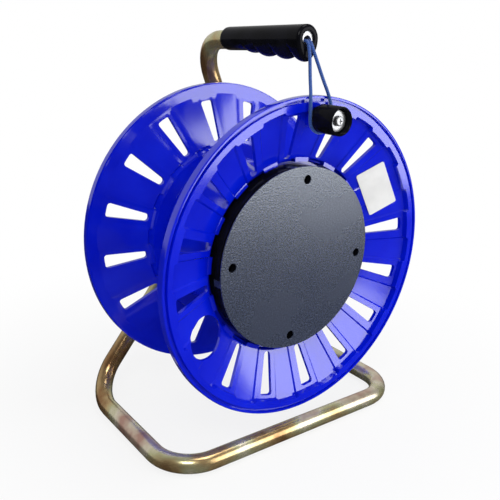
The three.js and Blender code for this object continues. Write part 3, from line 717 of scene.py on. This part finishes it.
def round_slots(flange, first_slot, whole_pitches):
    """Rounds each slot's four corners, which are edges through the flange's wall."""
    corners = []
    for number in range(pitches):
        if number in whole_pitches:
            continue
        for radius in (slot_outer_r, slot_inner_r):
            for station in (slot_stations[0], slot_stations[-1] + 1):
                turn = first_slot - pitch * number - flange_angle(station, radius)
                angle = math.radians(turn)
                corners.append((radius * math.cos(angle), radius * math.sin(angle)))
    shape = bmesh.new()
    shape.from_mesh(flange.data)
    through = []
    for edge in shape.edges:
        if not 0.0022 < edge.calc_length() < 0.0085:
            continue
        start, end = edge.verts[0].co, edge.verts[1].co
        if abs(start.y - end.y) < 0.002:
            continue
        middle = (start + end) / 2
        if min(math.hypot(middle.x - x, middle.z - z) for x, z in corners) < 0.0009:
            through.append(edge)
    bmesh.ops.bevel(
        shape, geom=through, offset=slot_corner, segments=5, profile=0.5, affect="EDGES"
    )
    shape.to_mesh(flange.data)
    shape.free()


def join(*pieces):
    """Joins pieces into the first one."""
    pick(*pieces)
    bpy.ops.object.join()


def even_shading(piece):
    """Gives a piece's flats their own normals, so that only its rounded edges shade."""
    take(piece, "WEIGHTED_NORMAL", keep_sharp=True, weight=90)


front_slot = 97.0
hole_pitch = 11
plain_pitch = 3
front_flange = mould_flange("front_flange_moulding", front_slot, (hole_pitch, plain_pitch))

# The cable's hole takes the place of one slot, and the knob's pin stands in a boss on a panel.
cable_hole_r = 0.0205
hole_place_r = 0.1212
hole_turn = math.radians(front_slot - pitch * hole_pitch)
bpy.ops.mesh.primitive_cylinder_add(
    vertices=72,
    radius=cable_hole_r,
    depth=0.08,
    location=around(hole_place_r, hole_turn, 0.01),
    rotation=(math.pi / 2, 0, 0),
)
cut_away(front_flange, bpy.context.object, use_self=True)
break_edges(front_flange, 0.0003, 2, 0.5)
crank_boss_r = 0.0095
crank_boss_length = 0.0175
crank_boss_middle = crank_place + Vector((0, 0.00815, 0))
bpy.ops.mesh.primitive_cylinder_add(
    vertices=48,
    radius=crank_boss_r,
    depth=crank_boss_length,
    location=crank_boss_middle,
    rotation=(math.pi / 2, 0, 0),
)
crank_boss = bpy.context.object
break_edges(crank_boss, 0.0005, 2, 0.6)
join(front_flange, crank_boss)
settle(front_flange, "front_flange_moulding", 32)
even_shading(front_flange)

rear_slot = 81.8
rear_plain_pitch = 6
rear_flange = mould_flange("rear_flange_moulding", rear_slot, (rear_plain_pitch,))
break_edges(rear_flange, 0.0003, 2, 0.5)
rear_flange.rotation_euler = (0, 0, math.pi)
rear_flange.location = (0, rim_width, 0)
settle(rear_flange, "rear_flange_moulding", 32)
even_shading(rear_flange)

polish = {"Specular IOR Level": 0.25, "Coat Weight": 1, "Coat IOR": 1.75, "Coat Roughness": 0.12}
blue_finish = new_finish("ultramarine", (0.0003, 0.009, 0.64), 0, 0.15, polish)
dye = ((0.3, (0.0003, 0.007, 0.57)), (0.5, (0.0003, 0.009, 0.64)), (0.7, (0.0006, 0.013, 0.71)))
give_skin(blue_finish, grain=700, cloud=22, gloss=(0.1, 0.2), relief=0.00003, colours=dye)
for flange, node in ((front_flange, "front_flange"), (rear_flange, "rear_flange")):
    dress(flange, blue_finish)
    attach(flange, "drum")
    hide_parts(node)


# The barrel: the blue core that the cable is wound on, moulded with a front web, a hub tube,
# twelve ribs between the two and four screw bosses at its back end.
barrel_r = 0.084
barrel_wall = 0.003
barrel_front = 0.0349
barrel_back = rim_width - barrel_front
hub_r = 0.013
hub_bore_r = 0.009
hub_back = 0.1728
rib_count = 12
rib_wall = 0.0024
rib_gap = 0.0015
screw_boss_r = 0.006
screw_boss_bore_r = 0.0023
screw_boss_front = barrel_back - 0.04
boss_circle_r = 0.073
boss_turns = [math.radians(45 + 90 * number) for number in range(4)]


def ring_piece(outer, inner, start, end, sides=64, middle=(0, 0)):
    """A plain ring or disc along the drum's axis, from a cylinder with its middle taken out."""
    bpy.ops.object.select_all(action="DESELECT")
    bpy.ops.mesh.primitive_cylinder_add(
        vertices=sides,
        radius=outer,
        depth=end - start,
        location=(middle[0], (start + end) / 2, middle[1]),
        rotation=(math.pi / 2, 0, 0),
    )
    piece = bpy.context.object
    bpy.ops.object.transform_apply(location=True, rotation=True)
    if inner:
        open_mesh("DESELECT")
        shape = bmesh.from_edit_mesh(piece.data)
        for face in shape.faces:
            face.select = len(face.verts) == sides
        bmesh.update_edit_mesh(piece.data)
        bpy.ops.mesh.inset(thickness=outer - inner, use_even_offset=False)
        bpy.ops.mesh.bridge_edge_loops()
        bpy.ops.object.mode_set(mode="OBJECT")
    return piece


barrel = ring_piece(barrel_r, barrel_r - barrel_wall, barrel_front, barrel_back, 128)
web_back = barrel_front + barrel_wall
web = ring_piece(barrel_r - barrel_wall / 2, hub_bore_r, barrel_front, web_back, 96)
hub = ring_piece(hub_r, hub_bore_r, barrel_front, hub_back, 48)
parts = [barrel, web, hub]
for number in range(rib_count):
    bpy.ops.mesh.primitive_cube_add(size=1, location=((hub_r + barrel_r) / 2 - 0.0012, 0, 0))
    rib = bpy.context.object
    rib.scale = (barrel_r - hub_r - 0.002, barrel_back - barrel_front - rib_gap, rib_wall)
    bpy.ops.object.transform_apply(location=True, rotation=True, scale=True)
    rib.rotation_euler = (0, -number * math.tau / rib_count, 0)
    rib.location = (0, (barrel_front + barrel_back) / 2 + rib_gap / 2, 0)
    pick(rib)
    bpy.ops.object.transform_apply(location=True, rotation=True)
    parts.append(rib)
for turn in boss_turns:
    boss = (screw_boss_r, screw_boss_bore_r, screw_boss_front, barrel_back, 24)
    parts.append(ring_piece(*boss, around(boss_circle_r, turn).xz))
join(*parts)
break_edges(barrel, 0.0003)
settle(barrel, "ribbed_barrel")
even_shading(barrel)
dress(barrel, blue_finish)
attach(barrel, "drum")
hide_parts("barrel")


# The bushes: two flanged nylon bearings pressed into the hub tube, one at each end, that turn
# on the fixed axle.
glow = {"Subsurface Weight": 0.1}
nylon_finish = new_finish("natural_nylon", (0.72, 0.70, 0.63), 0, 0.45, glow)
milky = ((0.3, (0.66, 0.64, 0.57)), (0.7, (0.76, 0.74, 0.68)))
give_skin(nylon_finish, grain=900, cloud=80, gloss=(0.4, 0.5), relief=0.00003, colours=milky)
bush_r = 0.0089
bush_rim_r = 0.011
bush_rim_wall = 0.002
for name, node, rim_start, body_end in (
    ("front_bush_nylon", "front_bush", 0.0326, 0.0546),
    ("rear_bush_nylon", "rear_bush", 0.1752, 0.1551),
):
    rim_end = rim_start + math.copysign(bush_rim_wall, body_end - rim_start)
    rim = ring_piece(bush_rim_r, axle_hole_r, min(rim_start, rim_end), max(rim_start, rim_end), 48)
    body = ring_piece(bush_r, axle_hole_r, min(rim_start, body_end), max(rim_start, body_end), 48)
    join(rim, body)
    break_edges(rim, 0.0003)
    settle(rim, name)
    dress(rim, nylon_finish)
    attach(rim, "drum")
    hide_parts(node)


# The axle and what holds it: a 12 mm steel pin with a threaded back end, a thrust washer before
# the plate, a washer and nut behind the tube, and a retaining washer and nut inside the hub.
def depths(box):
    """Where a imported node's box starts and ends along the drum's line, from the front rim."""
    low, high = box
    return low[1] - drum_place.y, high[1] - drum_place.y


axle_r = 0.006
washer_r = 0.011
nut_flats = 0.018
thread_lead = 0.00125
axle_front, axle_back = depths(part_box("axle"))
axle = ring_piece(axle_r, 0, axle_front, axle_back, 48)
break_edges(axle, 0.0009)
settle(axle, "axle_pin")


def thread(piece_name, start, end, radius, lead):
    """A fine thread crest wound on a pin, as one closed rope of a three-cornered section."""
    turns = (end - start) / lead
    bpy.ops.object.select_all(action="DESELECT")
    bpy.ops.mesh.primitive_circle_add(
        vertices=3, radius=lead * 0.42, fill_type="NGON", location=(radius - lead * 0.1, start, 0)
    )
    crest = bpy.context.object
    open_mesh("SELECT")
    crest_mesh = bmesh.from_edit_mesh(crest.data)
    bmesh.ops.spin(
        crest_mesh,
        geom=crest_mesh.faces[:] + crest_mesh.edges[:] + crest_mesh.verts[:],
        cent=(-(radius - lead * 0.1), 0, 0),
        axis=(0, 1, 0),
        dvec=(0, lead / 18, 0),
        angle=math.tau * turns,
        steps=round(18 * turns),
    )
    bmesh.ops.recalc_face_normals(crest_mesh, faces=crest_mesh.faces)
    bmesh.update_edit_mesh(crest.data)
    bpy.ops.object.mode_set(mode="OBJECT")
    crest.name = piece_name
    return crest


axle_thread = thread("axle_thread", axle_back - 0.0125, axle_back - 0.001, axle_r, thread_lead)
settle(axle_thread, "axle_thread", 50)


def hexagon_nut(name, flats, bore, start, end):
    """A hexagon nut whose corners are turned down at both faces."""
    flare = 1.12
    nut = ring_piece(flats / 2 / math.cos(math.pi / 6), bore, start, end, 6)
    nut.name = name
    cone = ring_piece(flats / 2 * 1.02, 0, start - 0.0001, end + 0.0001, 64)
    break_edges(cone, 0.0001, 1)
    cone.scale = (flare, 1, flare)
    pick(cone)
    bpy.ops.object.transform_apply(scale=True)
    open_mesh("DESELECT")
    shape = bmesh.from_edit_mesh(cone.data)
    for vertex in shape.verts:
        if min(abs(vertex.co.y - start), abs(vertex.co.y - end)) < 0.00015:
            vertex.co.x /= flare
            vertex.co.z /= flare
    bmesh.update_edit_mesh(cone.data)
    bpy.ops.object.mode_set(mode="OBJECT")
    take(nut, "BOOLEAN", object=cone, operation="INTERSECT", solver="EXACT")
    bpy.data.objects.remove(cone)
    return nut


for node in ("rear_washer", "thrust_washer", "retaining_washer"):
    washer = ring_piece(washer_r, axle_r + fit, *depths(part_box(node)), 48)
    break_edges(washer, 0.0004)
    settle(washer, node + "_plated")
    dress(washer, plated_finish)
    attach(washer, "frame")
    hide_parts(node)
for node in ("rear_nut", "retaining_nut"):
    name = node + "_plated"
    nut = hexagon_nut(name, nut_flats, axle_r + fit, *depths(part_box(node)))
    settle(nut, name)
    dress(nut, plated_finish)
    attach(nut, "frame")
    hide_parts(node)
for piece in (axle, axle_thread):
    dress(piece, plated_finish)
    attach(piece, "frame")
    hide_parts("axle")


# The axle plate: a 3 mm steel plate cut with rounded ends and welded across the leg's end and
# the diagonal behind the drum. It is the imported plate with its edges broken, plus the welds.
bpy.ops.object.select_all(action="DESELECT")
axle_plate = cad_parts["axle_plate"].copy()
axle_plate.data = axle_plate.data.copy()
bpy.context.scene.collection.objects.link(axle_plate)
pick(axle_plate)
open_mesh("SELECT")
bpy.ops.mesh.remove_doubles(threshold=0.00001)
bpy.ops.mesh.dissolve_limited(angle_limit=0.02)
bpy.ops.object.mode_set(mode="OBJECT")
break_edges(axle_plate, 0.0005, 2, 0.9)
axle_plate.name = "axle_plate_welded"
leg_end = stand_corners[-1]
leg, diagonal = runs[-1], runs[1]
bead_r = 0.0016
bead_step = 0.0016
bead_offset = 0.0052
weld_depth = Vector((0, -tube_r + 0.0012, 0))
beads = []
end_beads = 28
for number in range(end_beads):
    turn = number * math.tau / end_beads
    across = Vector((-leg.z, 0, leg.x)) * math.cos(turn) + Vector((0, 1, 0)) * math.sin(turn)
    beads.append(leg_end + across * (tube_r + 0.0004) - leg * 0.001)
leg_weld = (Vector((0, stand_back, 0)) + leg * 0.014, leg, 22)
diagonal_weld = (leg_end - diagonal * 0.004, diagonal, 18)
for start, along, steps in (leg_weld, diagonal_weld):
    side = Vector((-along.z, 0, along.x)) * bead_offset
    for number in range(steps):
        for way in (-1, 1):
            beads.append(start + along * bead_step * number + side * way + weld_depth)
weld_pieces = [axle_plate]
for number, bead in enumerate(beads):
    swelling = 0.9 + 0.15 * math.sin(number * 1.7)
    bpy.ops.mesh.primitive_uv_sphere_add(
        segments=12, ring_count=8, radius=bead_r * swelling, location=drum_place + bead
    )
    weld_pieces.append(bpy.context.object)
join(*weld_pieces)
bpy.ops.object.shade_smooth_by_angle(angle=math.radians(35))
dress(axle_plate, zinc_finish)
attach(axle_plate, "frame")
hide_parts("axle_plate")


# The housing: a black cup in the front flange's dish, closed by the cover plate. Its wall
# stands behind the plate's edge all round, and four posts inside take the plate's screws.
housing_r = 0.0926
housing_wall = 0.003
housing_front = 0.0149
housing_back = 0.0317
floor_front = housing_back - housing_wall
floor_hole_r = 0.024
post_bore_r = 0.0021
post_r = 0.0075
post_step = housing_front + 0.006
cover_hole_r = 0.0045
cover_screw_circle_r = 0.0803
cover_screw_turns = [math.radians(-4 + 90 * number) for number in range(4)]
housing = ring_piece(housing_r, housing_r - housing_wall, housing_front, floor_front, 128)
housing_floor = ring_piece(housing_r, floor_hole_r, floor_front, housing_back, 128)
parts = [housing, housing_floor]
for turn in cover_screw_turns:
    middle = around(cover_screw_circle_r, turn).xz
    parts.append(ring_piece(post_r, cover_hole_r, housing_front, post_step, 32, middle))
    parts.append(ring_piece(post_r, post_bore_r, post_step, housing_back, 32, middle))
join(*parts)
break_edges(housing, 0.0003)
settle(housing, "black_housing")
even_shading(housing)
dress(housing, black_finish)
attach(housing, "drum")
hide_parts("housing")


# The cover plate: a blank slate-grey disc with a fine grain and a thin rounded edge, held by four
# sunk screws. A spigot ring centres it in the housing, and four clip tabs stand behind it. The
# spigot is black as painted shade, for the dark gap behind the plate's edge.
cover_r = 0.0932
plate_face = 0.0107
plate_back = plate_face + 0.0014
spigot_r = 0.0906
spigot_inner_r = 0.0882
spigot_back = 0.0146
tab_place = (0.0923, 0.0172, 0)
tab_size = (0.0016, 0.0108, 0.007)
first_tab_turn = 174
cover = ring_piece(cover_r, 0, plate_face, plate_back, 160)
break_edges(cover, 0.0005, 3)
for turn in cover_screw_turns:
    middle = around(cover_screw_circle_r, turn).xz
    cut_away(cover, ring_piece(cover_hole_r, 0, plate_face - 0.001, plate_back + 0.001, 40, middle))
break_edges(cover, 0.0003, 2, 1.2)
spigot = ring_piece(spigot_r, spigot_inner_r, plate_back - 0.0002, spigot_back, 128)
settle(spigot, "cover_plate_spigot", 30)
# The spigot takes the black finish as painted shade, standing for the shaded gap behind the plate's
# rim.
dress(spigot, black_finish)
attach(spigot, "drum")
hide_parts("cover_plate")
parts = [cover]
for number in range(4):
    bpy.ops.mesh.primitive_cube_add(size=1, location=tab_place)
    tab = bpy.context.object
    tab.scale = tab_size
    bpy.ops.object.transform_apply(location=True, scale=True)
    break_edges(tab, 0.0004)
    tab.rotation_euler = (0, math.radians(first_tab_turn - 90 * number), 0)
    pick(tab)
    bpy.ops.object.transform_apply(rotation=True)
    parts.append(tab)
join(*parts)
settle(cover, "blank_cover_plate", 30)
even_shading(cover)
cold_gloss = {"Specular IOR Level": 1, "IOR": 1.75, "Specular Tint": (0.86, 0.92, 1, 1)}
grey_finish = new_finish("slate_grey", (0.03, 0.039, 0.072), 0, 0.26, cold_gloss)
slate = ((0.3, (0.014, 0.019, 0.04)), (0.5, (0.03, 0.039, 0.072)), (0.7, (0.064, 0.078, 0.128)))
give_skin(
    grey_finish,
    grain=620,
    cloud=14,
    gloss=(0.24, 0.29),
    relief=0.0005,
    colours=slate,
    mask="Grain",
)
dress(cover, grey_finish)
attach(cover, "drum")
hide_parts("cover_plate")


# The screws: steel, with cross-recessed pan heads. Four black ones are sunk in the cover plate's
# holes, and four bright ones hold each flange's web to the barrel.
def pan_screw(head_r, head_height, shank_r, length):
    """A screw pointing along +Y from its head's underside at zero, with a cross recess."""
    head = ring_piece(head_r, 0, -head_height, -fit, 40)
    break_edges(head, head_height * 0.4, 4)
    for turn in (0, math.pi / 2):
        bpy.ops.mesh.primitive_cube_add(size=1, location=(0, -head_height, 0))
        slot = bpy.context.object
        slot.scale = (head_r * 1.1, head_height * 1.1, head_r * 0.26)
        slot.rotation_euler = (0, turn, 0)
        cut_away(head, slot)
    shank = ring_piece(shank_r, 0, -head_height * 0.4, length, 20)
    crest = thread("crest", 0.004, length - 0.001, shank_r, 0.0014)
    join(head, shank, crest)
    return head


def place_screws(pattern, names, places, turned_round, finish):
    """Drives a copy of the pattern screw in at each place, and throws the pattern away."""
    for name, place_at in zip(names, places):
        piece = pattern.copy()
        piece.data = pattern.data.copy()
        bpy.context.scene.collection.objects.link(piece)
        piece.location = place_at
        if turned_round:
            piece.rotation_euler = (0, 0, math.pi)
        settle(piece, name + "_driven")
        dress(piece, finish)
        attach(piece, "drum")
        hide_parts(name)
    bpy.data.objects.remove(pattern)


dark_finish = new_finish("black_steel", (0.03, 0.03, 0.035), 0.6, 0.4)
blued = ((0.3, (0.02, 0.02, 0.024)), (0.7, (0.04, 0.04, 0.046)))
give_skin(dark_finish, grain=1600, cloud=90, gloss=(0.32, 0.46), relief=0.00003, colours=blued)
cover_screw_seat = 0.0209
place_screws(
    pan_screw(head_r=0.0037, head_height=0.003, shank_r=0.0018, length=0.02),
    [f"cover_screw_{number + 1}" for number in range(4)],
    [around(cover_screw_circle_r, turn, cover_screw_seat) for turn in cover_screw_turns],
    False,
    dark_finish,
)
flange_sides = (("front", web_depth, False), ("rear", rim_width - web_depth, True))
for side, depth, turned_round in flange_sides:
    place_screws(
        pan_screw(head_r=0.0045, head_height=0.003, shank_r=0.002, length=0.015),
        [f"{side}_flange_screw_{number + 1}" for number in range(4)],
        [around(boss_circle_r, turn, depth) for turn in boss_turns],
        turned_round,
        plated_finish,
    )


# The crank knob: a black turned moulding with a neck for the cord, a round body and a hollow
# outer end. It spins on a shoulder pin that is fixed through the flange's boss.
knob_front, knob_back = depths(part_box("crank_knob"))
knob_neck = knob_back - 0.0044
knob_floor = knob_front + 0.007
pin_hole_r = 0.0033
knob_outline = (
    (pin_hole_r, knob_back),
    (neck_r, knob_back),
    (neck_r, knob_neck),
    (0.0128, knob_neck),
    (0.0132, knob_neck - 0.0004),
    (0.0132, knob_front + 0.0012),
    (0.0127, knob_front + 0.0003),
    (0.0120, knob_front),
    (0.0114, knob_front + 0.0004),
    (0.0110, knob_front + 0.0014),
    (0.0110, knob_floor),
    (pin_hole_r, knob_floor),
)
bpy.ops.object.select_all(action="DESELECT")
bpy.ops.mesh.primitive_circle_add(vertices=len(knob_outline), radius=0.01)
crank_knob = bpy.context.object
for vertex, (radius, depth) in zip(crank_knob.data.vertices, knob_outline):
    vertex.co = (radius, depth, 0)
open_mesh("SELECT")
bpy.ops.mesh.spin(steps=64, angle=math.tau, center=(0, 0, 0), axis=(0, 1, 0))
bpy.ops.mesh.select_all(action="SELECT")
bpy.ops.mesh.remove_doubles(threshold=0.00001)
bpy.ops.mesh.normals_make_consistent(inside=False)
bpy.ops.object.mode_set(mode="OBJECT")
crank_knob.location = crank_place
settle(crank_knob, "crank_knob_turned")
dress(crank_knob, black_finish)
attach(crank_knob, "knob")
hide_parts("crank_knob")

pin_head = 0.003
pin_front, pin_back = depths(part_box("knob_pin"))
crank_pin = pan_screw(
    head_r=0.0045, head_height=pin_head, shank_r=0.003, length=pin_back - pin_front - pin_head
)
crank_pin.location = crank_place + Vector((0, pin_front + pin_head, 0))
settle(crank_pin, "crank_pin_driven")
crank_washer = ring_piece(0.0096, pin_hole_r, *depths(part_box("knob_washer")), 48)
break_edges(crank_washer, 0.0003)
crank_washer.location = crank_place
settle(crank_washer, "crank_washer_plated")
crank_nut = hexagon_nut("crank_nut", 0.010, pin_hole_r, *depths(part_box("knob_nut")))
crank_nut.location = crank_place
settle(crank_nut, "crank_nut_plated")
crank_pieces = ((crank_pin, "knob_pin"), (crank_washer, "knob_washer"), (crank_nut, "knob_nut"))
for piece, node in crank_pieces:
    dress(piece, plated_finish)
    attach(piece, "drum")
    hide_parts(node)


# The plate on the front flange: a bare white card, stuck on the strip that is left whole.
plate_turn = math.radians(29.5)
plate_place_r = 0.1216
plate_height = 0.0332
plate_thickness = 0.00035
plate_width = 0.052
plate_corner = 0.002
plate_lift = 0.0006
plate_slope = math.atan(cone_slope)
bpy.ops.object.select_all(action="DESELECT")
bpy.ops.mesh.primitive_cube_add(size=1)
bare_plate = bpy.context.object
bare_plate.scale = (plate_height, plate_thickness, plate_width)
bpy.ops.object.transform_apply(scale=True)
card = bmesh.new()
card.from_mesh(bare_plate.data)
corners = [e for e in card.edges if abs(e.verts[0].co.y - e.verts[1].co.y) > 0.0002]
bmesh.ops.bevel(card, geom=corners, offset=plate_corner, segments=5, profile=0.5, affect="EDGES")
card.to_mesh(bare_plate.data)
card.free()
break_edges(bare_plate, 0.0001, 1)
bare_plate.rotation_euler = (0, 0, -plate_slope)
bpy.ops.object.transform_apply(rotation=True)
bare_plate.rotation_euler = (0, -plate_turn, 0)
plate_depth = strip_depth(plate_place_r) - plate_lift
bare_plate.location = around(plate_place_r, plate_turn, plate_depth)
settle(bare_plate, "bare_white_plate")
card_finish = new_finish("white_card", (0.76, 0.76, 0.75), 0, 0.5)
chalk = ((0.3, (0.72, 0.72, 0.71)), (0.7, (0.8, 0.8, 0.79)))
give_skin(card_finish, grain=1200, cloud=60, gloss=(0.42, 0.55), relief=0.00003, colours=chalk)
dress(bare_plate, card_finish)
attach(bare_plate, "drum")
